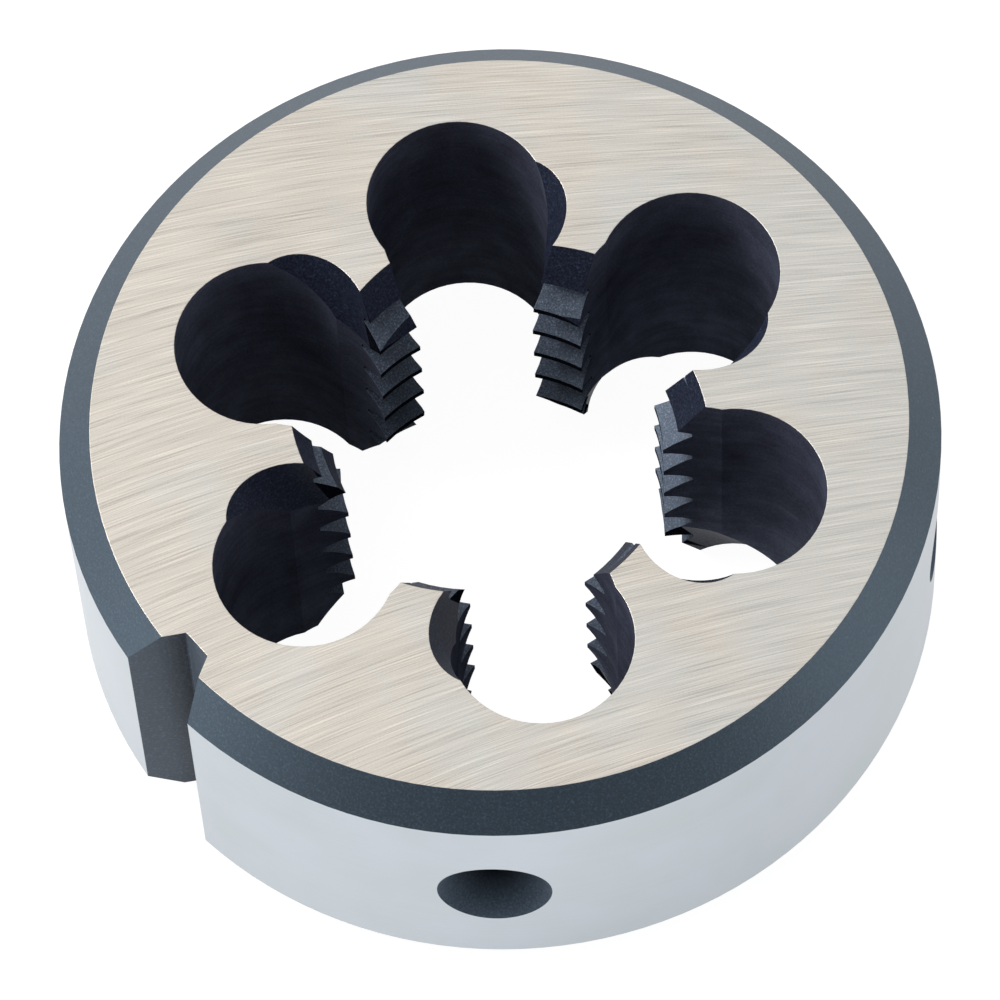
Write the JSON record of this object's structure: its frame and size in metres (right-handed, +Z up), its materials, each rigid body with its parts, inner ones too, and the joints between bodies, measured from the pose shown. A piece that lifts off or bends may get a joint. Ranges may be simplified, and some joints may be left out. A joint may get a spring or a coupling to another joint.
{
  "type": "threading die",
  "caption": "Solid round die that cuts a coarse right-hand external thread on a rod held in line with its bore.",
  "frame": {"origin": "on the die's axis, in the lower flat face that it rests on", "axes": "+Z up along the die's axis; -Y through the middle of the rim notch; one chip hole on +Y"},
  "size_m": [0.055, 0.0548, 0.0216],
  "materials": {
    "tool_steel": "hardened tool steel: ground faces and rim, dark satin oxide in the holes, teeth, chamfers and notch"
  },
  "bodies": {
    "root": {"die_body": "tool_steel"}
  },
  "joints": []
}
